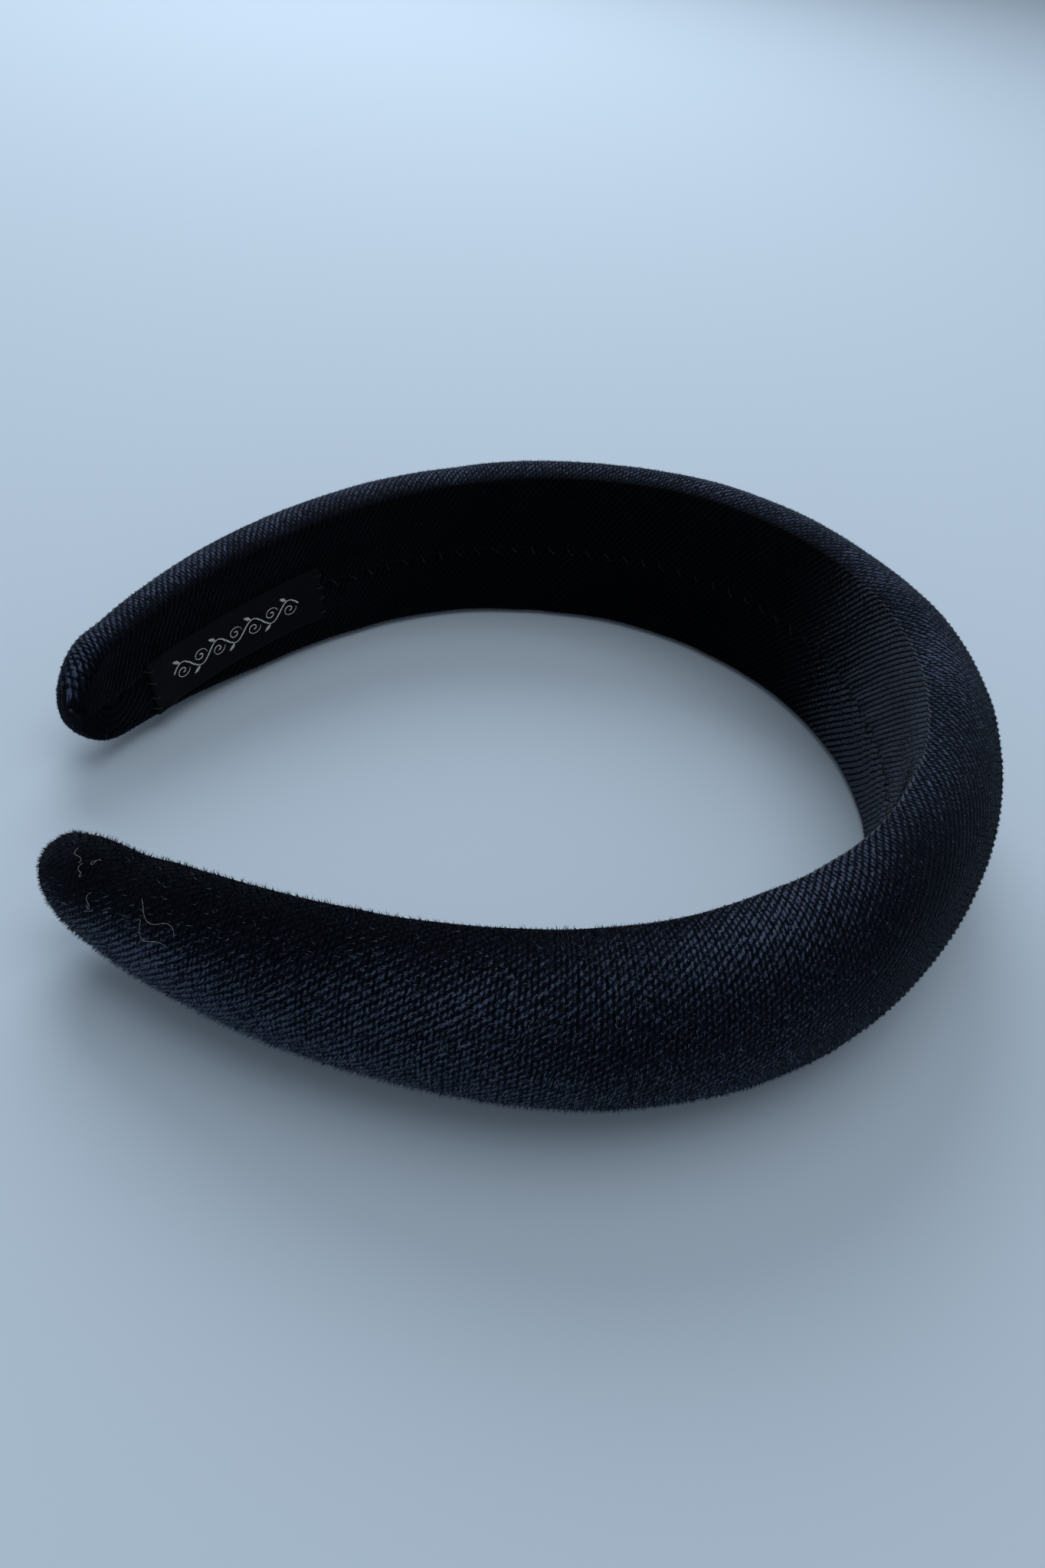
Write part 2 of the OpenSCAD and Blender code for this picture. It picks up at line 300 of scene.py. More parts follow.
class Nodes:
    """Short calls for the few node types that the materials use."""

    def __init__(self, tree, shader):
        self.tree, self.shader = tree, shader

    def add(self, kind, **settings):
        node = self.tree.nodes.new(kind)
        for key, value in settings.items():
            setattr(node, key, value)
        return node

    def feed(self, socket, value):
        if isinstance(value, bpy.types.NodeSocket):
            self.tree.links.new(value, socket)
        else:
            socket.default_value = value

    def math(self, operation, *values):
        node = self.add("ShaderNodeMath", operation=operation)
        for socket, value in zip(node.inputs, values):
            self.feed(socket, value)
        return node.outputs[0]

    def position(self, scale):
        """The object's own coordinates, stretched by scale."""
        node = self.add("ShaderNodeVectorMath", operation="SCALE")
        self.feed(node.inputs[0], self.add("ShaderNodeTexCoord").outputs["Object"])
        self.feed(node.inputs["Scale"], scale)
        return node.outputs[0]

    def cloth(self):
        """Distances in millimetres along and round the piece, from its UV map."""
        split = self.add("ShaderNodeSeparateXYZ")
        self.feed(split.inputs[0], self.add("ShaderNodeUVMap", uv_map="cloth").outputs[0])
        return self.math("DIVIDE", split.outputs[0], MM), self.math("DIVIDE", split.outputs[1], MM)

    def combine(self, x, y, z=0.0):
        node = self.add("ShaderNodeCombineXYZ")
        for socket, value in zip(node.inputs, (x, y, z)):
            self.feed(socket, value)
        return node.outputs[0]

    def noise(self, vector, scale=1.0, detail=2.0):
        node = self.add("ShaderNodeTexNoise")
        self.feed(node.inputs["Vector"], vector)
        self.feed(node.inputs["Scale"], scale)
        self.feed(node.inputs["Detail"], detail)
        return node.outputs[0]

    def ramp(self, value, *stops):
        """Colours at positions from 0 to 1."""
        node = self.add("ShaderNodeValToRGB")
        self.feed(node.inputs[0], value)
        elements = node.color_ramp.elements
        while len(elements) < len(stops):
            elements.new(0.5)
        for element, (place_on_ramp, colour) in zip(elements, stops):
            element.position = place_on_ramp
            element.color = (*colour, 1)
        return node.outputs[0]

    def spread(self, value, low, high, to_low=0.0, to_high=1.0):
        node = self.add("ShaderNodeMapRange")
        for socket, v in zip(node.inputs, (value, low, high, to_low, to_high)):
            self.feed(socket, v)
        return node.outputs[0]

    def base_colour(self, value):
        self.feed(self.shader.inputs["Base Color"], value)

    def roughness(self, value):
        self.feed(self.shader.inputs["Roughness"], value)

    def bump(self, height, distance, strength=1.0):
        node = self.add("ShaderNodeBump")
        self.feed(node.inputs["Height"], height)
        node.inputs["Distance"].default_value = distance
        node.inputs["Strength"].default_value = strength
        self.feed(self.shader.inputs["Normal"], node.outputs[0])


def velvet(name, sheen, tones, row_shares, broken):
    """Cut pile in rows. tones are the colours from the rows' feet to their tips: the dark feet are painted
    shade between the rows and the pale tips painted sheen. row_shares is how much the rows show in the
    plainer and the clearer patches, and broken how far they break up into tufts. The mesh's attribute of
    painted light and shade scales the tone."""
    material, nodes = new_material(
        name, Roughness=0.9, Specular_IOR_Level=0.02,
        Sheen_Weight=sheen, Sheen_Roughness=0.34, Sheen_Tint=(0.4, 0.56, 0.8, 1))
    s, across = nodes.cloth()
    cloth_point = nodes.combine(s, across)
    rows = nodes.math("DIVIDE", across, ROW_PITCH)
    ridge = nodes.spread(nodes.math("COSINE", nodes.math("MULTIPLY", rows, math.tau)), -0.9, 0.7)
    tufts = nodes.combine(nodes.math("MULTIPLY", rows, 1.3), nodes.math("DIVIDE", s, TUFT_PITCH))
    tuft_noise = nodes.noise(tufts, 1.0, 1.0)
    column = nodes.math("COSINE", nodes.math("MULTIPLY", s, math.tau / TUFT_PITCH))
    tuft = nodes.spread(nodes.math("MULTIPLY_ADD", column, 0.16, tuft_noise), 0.3, 0.7)
    whole = nodes.math("MULTIPLY_ADD", nodes.math("SUBTRACT", tuft, 0.5), broken, 0.62)
    fuzz = nodes.spread(nodes.noise(cloth_point, 3.4, 2.0), 0.32, 0.68)
    patches = nodes.spread(nodes.noise(cloth_point, 0.05, 3.0), 0.3, 0.7, 0.6, 1.1)
    row_share = nodes.spread(nodes.noise(cloth_point, 0.035, 1.0), 0.35, 0.65, *row_shares)
    plain = nodes.math("SUBTRACT", 1.0, row_share)
    rise = nodes.math("MULTIPLY_ADD", ridge, row_share, nodes.math("MULTIPLY", plain, 0.5))
    fuzz_tone = nodes.math("MULTIPLY_ADD", fuzz, 1.1, 0.25)
    # Painted light and shade, from the mesh, scale the tone.
    tone_and_painted_light = nodes.add("ShaderNodeAttribute", attribute_name="tone_and_painted_light").outputs["Fac"]
    tone = nodes.math("MULTIPLY", rise, whole)
    tone = nodes.math("MULTIPLY", nodes.math("MULTIPLY", tone, patches), fuzz_tone)
    tone = nodes.math("MULTIPLY", tone, tone_and_painted_light)
    # Painted shade at the rows' feet and painted sheen at their tips.
    nodes.base_colour(nodes.ramp(tone, (0.0, tones[0]), (0.35, tones[1]), (0.9, tones[2])))
    relief = nodes.math("ADD", nodes.math("MULTIPLY", rise, 0.6), nodes.math("MULTIPLY", fuzz, 0.4))
    nodes.bump(relief, 0.0002)
    return material


def pile_fibre(name, colour, sheen, shine):
    """One fibre of the pile. It is far too narrow to show a pattern of its own."""
    return new_material(
        name, Base_Color=(*colour, 1), Roughness=0.45, Specular_IOR_Level=shine,
        Sheen_Weight=sheen, Sheen_Roughness=0.4, Sheen_Tint=(0.42, 0.54, 0.78, 1))[0]


def foam():
    material, nodes = new_material("foam", Roughness=0.9, Specular_IOR_Level=0.1)
    cells = nodes.add("ShaderNodeTexVoronoi")
    nodes.feed(cells.inputs["Vector"], nodes.position(1 / MM))
    cells.inputs["Scale"].default_value = 1.6
    nodes.base_colour(nodes.ramp(cells.outputs[0], (0.0, (0.62, 0.56, 0.36)), (0.6, (0.86, 0.8, 0.58))))
    nodes.bump(cells.outputs[0], 0.0003)
    return material


def moulded_plastic():
    material, nodes = new_material("moulded_plastic", Roughness=0.5, Specular_IOR_Level=0.4)
    flow = nodes.noise(nodes.position(60.0), 1.0, 4.0)
    nodes.base_colour(nodes.ramp(flow, (0.3, (0.68, 0.66, 0.58)), (0.7, (0.76, 0.74, 0.66))))
    nodes.roughness(nodes.spread(nodes.noise(nodes.position(900.0)), 0.3, 0.7, 0.42, 0.58))
    return material


def adhesive_tape():
    material, nodes = new_material("adhesive_tape", Roughness=0.3, Specular_IOR_Level=0.5)
    clouds = nodes.noise(nodes.position(400.0))
    nodes.base_colour(nodes.ramp(clouds, (0.35, (0.5, 0.4, 0.16)), (0.65, (0.62, 0.52, 0.24))))
    return material


def thread(name, dark, pale, twist=0.0004, gloss=0.3):
    """Spun thread with its twist."""
    material, nodes = new_material(
        name, Roughness=0.6, Specular_IOR_Level=gloss, Sheen_Weight=gloss, Sheen_Roughness=0.4)
    wave = nodes.add("ShaderNodeTexWave", wave_type="BANDS", bands_direction="DIAGONAL")
    nodes.feed(wave.inputs["Vector"], nodes.position(1 / twist))
    wave.inputs["Scale"].default_value = 0.3
    wave.inputs["Distortion"].default_value = 1.0
    nodes.base_colour(nodes.ramp(wave.outputs["Fac"], (0.2, dark), (0.8, pale)))
    nodes.bump(wave.outputs["Fac"], 0.0001)
    return material


def label_satin():
    material, nodes = new_material(
        "label_satin", Roughness=0.6, Specular_IOR_Level=0.05, Sheen_Weight=0.02, Sheen_Roughness=0.35,
        Sheen_Tint=(0.5, 0.55, 0.8, 1))
    a, b = nodes.cloth()
    warp_threads = nodes.math("SINE", nodes.math("MULTIPLY", b, math.tau / 0.22))
    weft_threads = nodes.math("SINE", nodes.math("MULTIPLY", a, math.tau / 0.3))
    weave = nodes.math("MULTIPLY_ADD", nodes.math("MULTIPLY", warp_threads, weft_threads), 0.5, 0.5)
    along_threads = nodes.combine(nodes.math("MULTIPLY", a, 0.2), nodes.math("MULTIPLY", b, 3.0))
    slub = nodes.noise(along_threads, 1.0, 3.0)
    tone = nodes.math("ADD", nodes.math("MULTIPLY", weave, 0.5), nodes.math("MULTIPLY", slub, 0.5))
    nodes.base_colour(nodes.ramp(tone, (0.2, (0.0005, 0.0006, 0.001)), (0.8, (0.0026, 0.003, 0.0046))))
    nodes.roughness(nodes.spread(slub, 0.3, 0.7, 0.42, 0.6))
    nodes.bump(tone, 0.00008)
    return material


velvet_material = velvet(
    "velvet", sheen=0.08, row_shares=(0.45, 0.72), broken=1.0,
    tones=[(0.0005, 0.0007, 0.0015), (0.0056, 0.008, 0.0152), (0.05, 0.066, 0.114)])
face_velvet_material = velvet(
    "velvet_head_side", sheen=0.06, row_shares=(0.8, 0.95), broken=0.5,
    tones=[(0.0002, 0.0003, 0.0005), (0.0072, 0.0085, 0.0124), (0.052, 0.062, 0.086)])
dark_pile_material = pile_fibre("pile_dark", (0.0012, 0.0016, 0.0034), sheen=0.01, shine=0.03)
# Pale fibres are painted sheen, brighter than the pile's own dark colour.
painted_sheen_pile_material = pile_fibre("pile_painted_sheen", (0.05, 0.076, 0.122), sheen=0.4, shine=0.25)
foam_material = foam()
plastic_material = moulded_plastic()
tape_material = adhesive_tape()
seam_thread_material = thread("seam_thread", (0.0006, 0.0008, 0.0012), (0.0024, 0.0029, 0.0044), gloss=0.15)
label_material = label_satin()
silver_material = thread("silver_thread", (0.22, 0.22, 0.22), (0.7, 0.7, 0.68), 0.0003)
lint_material = thread("lint_fibre", (0.28, 0.27, 0.25), (0.42, 0.4, 0.37))

# ---------------------------------------------------------------- the band's section
def seam_height(s):
    """Where the seam runs on the head-side face, from the middle of the band's width."""
    return (-0.6 - 3.0 * bump(s, -14, 26)) * rounding(s, TIP_WIDTH_POWER)


def outline(s, inset=0.0, tip_inset=0.0, floor=-FACE_DEPTH):
    """The section at s as heights n and widths z, from the seam up, over the dome and back to the seam."""
    w = (full_half_width(s) - inset) * rounding(s, TIP_WIDTH_POWER, tip_inset)
    widest = WIDEST_SHARE * full_loft(s)
    top = widest + (full_loft(s) - inset - widest) * rounding(s, TIP_LOFT_POWER, tip_inset)
    bottom = widest + (floor - widest) * rounding(s, TIP_FACE_POWER, tip_inset)
    flat = towards_tip(s, CROWN_FACE_SHARE, TIP_FACE_SHARE) * w
    dome = np.linspace(0, math.pi, 121)
    corner = np.linspace(math.pi / 2, 0, 13)[:-1]
    rise = widest + (bottom - widest) * np.sin(corner)
    edge = flat + (w - flat) * np.cos(corner)
    n = np.concatenate([[bottom], rise, widest + (top - widest) * np.sin(dome), rise[::-1], [bottom]])
    z = np.concatenate([[seam_height(s)], edge, w * np.cos(dome), -edge[::-1], [seam_height(s)]])
    return n, z + wrap_shift(s)


def tip_shape(s, n, z):
    """Shaping of the tips. The right arm's tip reaches farther on its upper side, drops there to a
    low corner and is a little wide behind it. The left arm's tip is drawn back on its upper side, so that
    it ends in a corner on its lower side."""
    right_reach, right_drop, right_widening = 4.2, 2.6, 0.085
    left_reach, left_draw_back = 0.6, 2.3
    from_right, from_left = HALF_LENGTH + s, HALF_LENGTH - s
    up = np.clip(z / TIP_HALF_WIDTH * 0.8 + 0.3, 0, 1)
    down = np.clip(-z / TIP_HALF_WIDTH * 0.8 + 0.3, 0, 1)
    right_end, left_end = bump(from_right, 0, 7), bump(from_left, 0, 8)
    moved = s - right_reach * right_end * up + left_end * (left_reach * down - left_draw_back * up)
    widened = z * (1 + right_widening * bump(from_right, 30, 24))
    return moved, n, widened - right_drop * bump(from_right, 0, 13) * up


def swept(stations, columns, shaped=False, **section):
    """Points of the swept section in the row frame, with the distance round each section in millimetres."""
    n, z, girth = [], [], []
    share = np.arange(columns) / columns
    for s in stations:
        across, up = outline(s, **section)
        run = np.concatenate([[0], np.cumsum(np.hypot(np.diff(across), np.diff(up)))])
        n.append(np.interp(share * run[-1], run, across))
        z.append(np.interp(share * run[-1], run, up))
        girth.append(run[-1])
    s, n, z = np.array(stations)[:, None], np.array(n), np.array(z)
    if shaped:
        s, n, z = tip_shape(s, n, z)
    return place(s, n, z), np.array(girth)[:, None] * share


def stations_of(body_count, tip_count, tip_inset=0.0):
    """Distances along the whole band, closer together round the tips."""
    straight = HALF_LENGTH - tip_inset - TIP_ROUND
    half = np.concatenate([
        np.linspace(0, straight, body_count, endpoint=False),
        straight + TIP_ROUND * np.sin(np.linspace(0, math.radians(88), tip_count))])
    return np.concatenate([-half[:0:-1], half])


def normals_of(points):
    """Outward normals of a grid of points that wraps in its second direction."""
    along = np.gradient(points, axis=0)
    round_section = np.roll(points, -1, axis=1) - np.roll(points, 1, axis=1)
    normals = np.cross(round_section, along)
    outwards = points - points.mean(axis=1, keepdims=True)
    if (normals * outwards).sum() < 0:
        normals = -normals
    return normals / np.maximum(np.linalg.norm(normals, axis=-1, keepdims=True), 1e-12)


# ---------------------------------------------------------------- the cover
SIM_SCALE = 0.03          # metres of simulated cloth for a millimetre of the band
SIM_FRAMES = 20
TIGHT = 0.4               # how far inside its settled dome the cloth starts
HELD_SHARE = 0.19         # share of the way round, each side of the seam, that is sewn tight on the core
LEAST_SWELL, MOST_SWELL = -0.3, 1.6


def foam_swell(stations, columns):
    """How far the foam presses the cloth out of a tight dome, in millimetres, from a cloth simulation.
    The head-side face and the tips are held."""
    coarse = stations_of(56, 6)
    coarse_columns = 44
    points, _ = swept(coarse, coarse_columns, inset=TIGHT)
    share = np.arange(coarse_columns) / coarse_columns
    held = np.zeros(points.shape[:2], bool)
    held[:, np.minimum(share, 1 - share) < HELD_SHARE] = True
    held[np.abs(coarse) > HALF_LENGTH - TIP_ROUND] = True
    faces = grid_faces(len(coarse), coarse_columns, wrap=True) + end_caps(len(coarse), coarse_columns)
    cloth = new_mesh_object("cloth_shape", points.reshape(-1, 3) / MM * SIM_SCALE, faces, velvet_material)
    group = cloth.vertex_groups.new(name="held")
    group.add(np.flatnonzero(held.ravel()).tolist(), 1.0, "REPLACE")
    modifier = cloth.modifiers.new("cloth", "CLOTH")
    modifier.point_cache.frame_start = 1
    modifier.point_cache.frame_end = SIM_FRAMES
    settings = modifier.settings
    settings.vertex_group_mass = "held"
    settings.use_pressure = True
    settings.uniform_pressure_force = 4.0
    settings.effector_weights.gravity = 0.0
    settings.tension_stiffness = 12.0
    settings.compression_stiffness = 12.0
    settings.shear_stiffness = 4.0
    settings.bending_stiffness = 1.0
    for step in range(1, SIM_FRAMES + 1):
        bpy.context.scene.frame_set(step)
    settled = cloth.evaluated_get(bpy.context.evaluated_depsgraph_get())
    moved = np.array([v.co for v in settled.data.vertices]).reshape(points.shape) / SIM_SCALE * MM
    bpy.context.scene.frame_set(1)
    bpy.data.objects.remove(cloth)
    swell = ((moved - points) * normals_of(points)).sum(-1) / MM
    swell = np.clip(swell, LEAST_SWELL, MOST_SWELL) * ~held + TIGHT * held
    swell[1:-1] = (swell[:-2] + 2 * swell[1:-1] + swell[2:]) / 4
    swell = (np.roll(swell, 1, axis=1) + 2 * swell + np.roll(swell, -1, axis=1)) / 4
    swell = np.concatenate([swell, swell[:, :1]], axis=1)
    share = np.append(share, 1)
    by_station = np.stack([np.interp(stations, coarse, column) for column in swell.T], axis=1)
    fine_share = np.arange(columns) / columns
    return np.stack([np.interp(fine_share, share, line) for line in by_station]) - TIGHT


def cloth_relief(s, t, girth):
    """Height of the cloth's own folds above the smooth dome, in millimetres."""
    from_seam = np.minimum(t, girth - t)
    tip_distance = HALF_LENGTH - np.abs(s)
    near_tip = np.clip(tip_distance / 10, 0.15, 1)
    lumps = 0.22 * smooth_noise(s / 17 + 30, t / 15 + 30, seed=1)
    lumps = lumps + 0.1 * smooth_noise(s / 6 + 60, t / 6, seed=2)
    fold_width = 0.6 * smooth_noise(s / 9 + 30, 0 * s, seed=4)
    folded_edge = 0.3 / (1 + np.exp((from_seam - 5.5 - fold_width) / 0.45))
    pull = 0.65 + 0.35 * np.cos(math.tau * s / STITCH_PITCH)
    valley = -0.6 * pull * bump(from_seam, 0, 0.85)
    drawn_in = 0.2 * bump(s, -2, 30) + 0.28 * bump(s, 5, 9)
    puckers = drawn_in * np.cos(math.tau * (s + 0.8 * from_seam) / 5.5) * bump(from_seam, 2.5, 3.6)
    ripples = 0.14 * smooth_noise(s / 2.6 + 50, from_seam / 9, seed=5) * bump(from_seam, 1.5, 5)
    return (lumps + folded_edge + valley + puckers + ripples) * near_tip


def tip_bulge(s, t, girth):
    """The cloth's tuck at the top corner of the right arm's tip stands up, with a dip behind it."""
    tip_distance = HALF_LENGTH + s
    top_corner = bump(t / girth, 0.25, 0.12)
    return top_corner * (0.45 * bump(tip_distance, 9, 4) - 0.5 * bump(tip_distance, 17, 4.5))


COVER_COLUMNS = 224
cover_stations = stations_of(408, 32)
cover_points, cover_t = swept(cover_stations, COVER_COLUMNS, shaped=True)
cover_girth = cover_t[:, 1:2] * COVER_COLUMNS
cover_s = np.broadcast_to(cover_stations[:, None], cover_t.shape)
cover_height = cloth_relief(cover_s, cover_t, cover_girth) + tip_bulge(cover_s, cover_t, cover_girth)
cover_height = cover_height + foam_swell(cover_stations, COVER_COLUMNS)
cover_points = cover_points + normals_of(cover_points) * (cover_height * MM)[..., None]
cover_normals = normals_of(cover_points)
CROWN_STATION = len(cover_stations) // 2


def half_of(side):
    """Rows of the cover's grid from the crown to one tip, in the order of the grid."""
    return slice(CROWN_STATION, None) if side > 0 else slice(0, CROWN_STATION + 1)


def is_head_side(s, t, girth):
    """Whether a point of the cloth lies on the flat face that touches the head."""
    from_seam = np.minimum(t, girth - t)
    to_seam = np.where(t < girth / 2, -1, 1) * seam_height(s)
    reach = full_half_width(s) * rounding(s, TIP_WIDTH_POWER) + to_seam
    return from_seam < reach - 0.4 - towards_tip(s, 0.0, 2.2)


def make_cover(side_name):
    """Half of the cover. Its UV map holds distances along the band and across the cloth's rows."""
    side = SIDES[side_name]
    rows = half_of(side)
    points, normals, t, s = (a[rows] for a in (cover_points, cover_normals, cover_t, cover_s))
    girth = cover_girth[rows]
    count = len(points)
    faces = grid_faces(count, COVER_COLUMNS, wrap=True)
    caps = end_caps(count, COVER_COLUMNS)
    piece = new_mesh_object("cover_" + side_name, points.reshape(-1, 3), faces + caps, velvet_material)
    corners = np.array(faces).reshape(-1, 4)
    row, column = corners // COVER_COLUMNS, corners % COVER_COLUMNS
    uv_s, uv_t = s[row, column], t[row, column]
    last_column = corners.max(axis=1, keepdims=True) % COVER_COLUMNS == COVER_COLUMNS - 1
    past_seam = (column == 0) & last_column
    uv_t = np.where(past_seam, girth[row, 0], uv_t)
    uv = np.stack([uv_s, across_rows(uv_s, uv_t)], -1).reshape(-1, 2) * MM
    cap_uv = np.zeros((2 * COVER_COLUMNS, 2))
    set_cloth_uv(piece, np.concatenate([uv, cap_uv]))
    piece.data.normals_split_custom_set_from_vertices(normals.reshape(-1, 3).tolist())
    # Painted light and shade for the velvet's tone, by place on the cover.
    tone_and_painted_light = piece.data.attributes.new("tone_and_painted_light", "FLOAT", "POINT")
    tone_and_painted_light.data.foreach_set("value", painted_light_of(s, t, girth).astype(np.float32).ravel())
    piece.data.materials.append(face_velvet_material)
    first_row, first_column = row[:, 0], column[:, 0]
    corner_s = s[first_row, first_column]
    ragged = random.normal(0, towards_tip(corner_s, 0.3, 1.0))
    on_face = is_head_side(corner_s, t[first_row, first_column] + ragged, girth[first_row, 0])
    material_of = np.concatenate([on_face, [0, 0]]).astype(np.int32)
    piece.data.polygons.foreach_set("material_index", material_of)
    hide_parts("cover_crown", "cover_" + side_name + "_arm")
    bend_with_arm(piece)


def on_cover(s, t_share):
    """Points and normals of the cover at distances s and shares of the way round from the seam."""
    last = len(cover_stations) - 1.001
    i = np.clip(np.interp(s, cover_stations, np.arange(len(cover_stations))), 0, last)
    j = (t_share % 1) * COVER_COLUMNS
    i0, j0 = i.astype(int), j.astype(int) % COVER_COLUMNS
    j1 = (j0 + 1) % COVER_COLUMNS
    u, v = (i - i0)[:, None], (j - np.floor(j))[:, None]

    def blend(grid):
        return ((grid[i0, j0] * (1 - u) + grid[i0 + 1, j0] * u) * (1 - v)
                + (grid[i0, j1] * (1 - u) + grid[i0 + 1, j1] * u) * v)
    return blend(cover_points), blend(cover_normals)


def unit(v):
    return v / np.maximum(np.linalg.norm(v, axis=-1, keepdims=True), 1e-12)


def outer_painted_light(s, t, girth):
    """Painted light and sheen on the outer side of the cover, from near 0 to about 1.5, scaled by random
    patches. A pale streak of painted light runs along the right arm, from its upper side by the crown to its
    lower side by the tip. Below it the arm is pale towards the tip and dark towards the crown. Over the
    crown and the left arm, the strip above the head-side face is pale with painted light, and the dome's
    lower edge is a little paler than its middle with painted sheen. Towards the right arm's tip there is
    less of it."""
    u = t / girth
    patches = 0.5 + 0.5 * smooth_noise(s / 16 + 20, t / 13 + 20, seed=9)
    past_crown = np.clip(-60 - s, 0, None)
    streak_place = 0.19 + 0.0024 * past_crown
    right = step_up(-s, 38, 8)
    streak = (0.8 + 0.55 * step_up(s, -105, 10)) * bump(u, streak_place, 0.075)
    below_streak = (0.3 + 0.6 * step_up(-s, 128, 9)) * step_up(u, streak_place + 0.05, 0.03)
    lowest = 0.45 * step_up(-s, 80, 10) * step_up(u, 0.47, 0.03)
    strip = (1 - right) * bump(u, 0.275, 0.085) * step_up(u, 0.16 + 0.05 * step_up(s, -12, 8), 0.012)
    low_edge = 0.2 * step_up(s, -80, 9) * bump(u, 0.74, 0.07)
    on_right_arm = right * (streak + below_streak * step_up(-s, 70, 8) + lowest)
    dark_right_tip = 0.45 + 0.55 * np.clip((HALF_LENGTH + s) / 22, 0, 1)
    tone_and_painted_light = 0.04 + on_right_arm + 1.3 * strip + low_edge
    return tone_and_painted_light * (0.75 + 0.4 * patches) * dark_right_tip


def painted_light_of(s, t, girth):
    """Painted light and shade of the whole cover, which scales its tone. The head-side face is dark with
    painted shade on the left arm's side of the crown's middle and pale with painted light on the right
    arm's."""
    face_painted_light = 0.25 + 4.2 * step_up(-s, -4, 6)
    outer = 0.25 + 1.15 * outer_painted_light(s, t, girth)
    return np.where(is_head_side(s, t, girth), face_painted_light, outer)


def painted_sheen_share(s, t, girth):
    """Share of the fibres that show the pale colour, painted sheen: none on the head-side face, elsewhere
    following the painted light of the outer side.
    """
    return np.where(is_head_side(s, t, girth), 0.0, 0.6 * outer_painted_light(s, t, girth))


def tuft_places(side):
    """Distances s and t of all tufts on one side of the crown, evenly spaced along each row."""
    across = across_rows(cover_s, cover_t)[half_of(side)]
    rows = np.arange(math.floor(across.min() / ROW_PITCH), math.ceil(across.max() / ROW_PITCH) + 1)
    along_band = np.linspace(0, HALF_LENGTH, 1601)
    over_cloth = along_band + tip_extra(along_band)
    tufts = np.arange(math.ceil(over_cloth[-1] / TUFT_PITCH))
    row, tuft = (a.ravel() for a in np.meshgrid(rows, tufts, indexing="ij"))
    s = side * np.interp(tuft * TUFT_PITCH, over_cloth, along_band)
    t = t_of_row(s, row * ROW_PITCH)
    near = (t > -1) & (t < cover_girth.max() + 1)
    return s[near], t[near]


def make_pile(side_name, per_tuft=6):
    """Short fibres in tufts along the cloth's rows. Each is one narrow blade. They lean along the rows, more
    in some patches than in others. They are full length only on the outer side of the right arm."""
    side = SIDES[side_name]
    tuft_s, tuft_t = tuft_places(side)
    tuft_lean = np.repeat(random.normal(0, 1, (len(tuft_s), 3)), per_tuft, axis=0)
    s = np.repeat(tuft_s, per_tuft)
    t = np.repeat(tuft_t, per_tuft)
    s = s + random.normal(0, TUFT_SPREAD, s.shape)
    t = t + random.normal(0, TUFT_SPREAD, t.shape)
    girth = np.interp(s, cover_stations, cover_girth[:, 0])
    clear_of_seam, clear_of_tip = 0.6, 0.3
    kept = (s * side > 0) & (np.abs(s) < HALF_LENGTH - clear_of_tip)
    kept &= (t > clear_of_seam) & (t < girth - clear_of_seam)
    s, t, girth, tuft_lean = s[kept], t[kept], girth[kept], tuft_lean[kept]
    base, normal = on_cover(s, t / girth)
    step = 0.4
    ahead, _ = on_cover(s - step * np.cos(row_turn(s)), (t + step * np.sin(row_turn(s))) / girth)
    along_row = unit(ahead - base)
    brushing = 28 + 24 * smooth_noise(s / 13 + 30, t / 11 + 30, seed=6)
    lean = np.radians(brushing + random.normal(0, 14, s.shape))[:, None]
    direction = normal * np.cos(lean) + along_row * np.sin(lean) + 0.25 * tuft_lean
    direction = unit(direction + random.normal(0, 0.1, base.shape))
    blade_side = unit(np.cross(direction, unit(random.normal(0, 1, base.shape))))
    outer_length = 0.55 + 0.5 * step_up(-s, 88, 12)
    length_share = np.where(is_head_side(s, t, girth), 0.5, outer_length)
    length = (PILE_LENGTH * length_share * random.uniform(0.6, 1.15, s.shape) * MM)[:, None]
    half_blade = blade_side * (BLADE_HALF_WIDTH * MM)
    foot = base - normal * 0.1 * MM
    points = np.stack([foot - half_blade, foot + half_blade, foot + direction * length], 1).reshape(-1, 3)
    faces = np.arange(len(points)).reshape(-1, 3).tolist()
    piece = new_mesh_object("pile_" + side_name, points, faces, dark_pile_material, smooth=False)
    # The pale fibres are painted sheen, placed where the cover has painted light.
    piece.data.materials.append(painted_sheen_pile_material)
    has_painted_sheen = random.uniform(0, 1, s.shape) < painted_sheen_share(s, t, girth)
    piece.data.polygons.foreach_set("material_index", has_painted_sheen.astype(np.int32))
    bend_with_arm(piece)


# ---------------------------------------------------------------- the foam and the hidden core
def make_foam(side_name):
    side = SIDES[side_name]
    stations = stations_of(60, 8, tip_inset=FOAM_TIP_INSET)
    middle = len(stations) // 2
    stations = stations[middle:] if side > 0 else stations[:middle + 1]
    columns = 64
    points, _ = swept(stations, columns, inset=FOAM_INSET, tip_inset=FOAM_TIP_INSET, floor=FOAM_FLOOR)
    faces = grid_faces(len(stations), columns, wrap=True) + end_caps(len(stations), columns)
    piece = new_mesh_object("foam_" + side_name, points.reshape(-1, 3), faces, foam_material)
    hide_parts("foam_crown", "foam_" + side_name + "_arm")
    bend_with_arm(piece)


def paint(node_name, material):
    mesh = frame["nodes"][node_name].data
    mesh.materials.clear()
    mesh.materials.append(material)


for region in ("crown", "left_arm", "right_arm"):
    paint("core_" + region, plastic_material)
    paint("tape_" + region, tape_material)


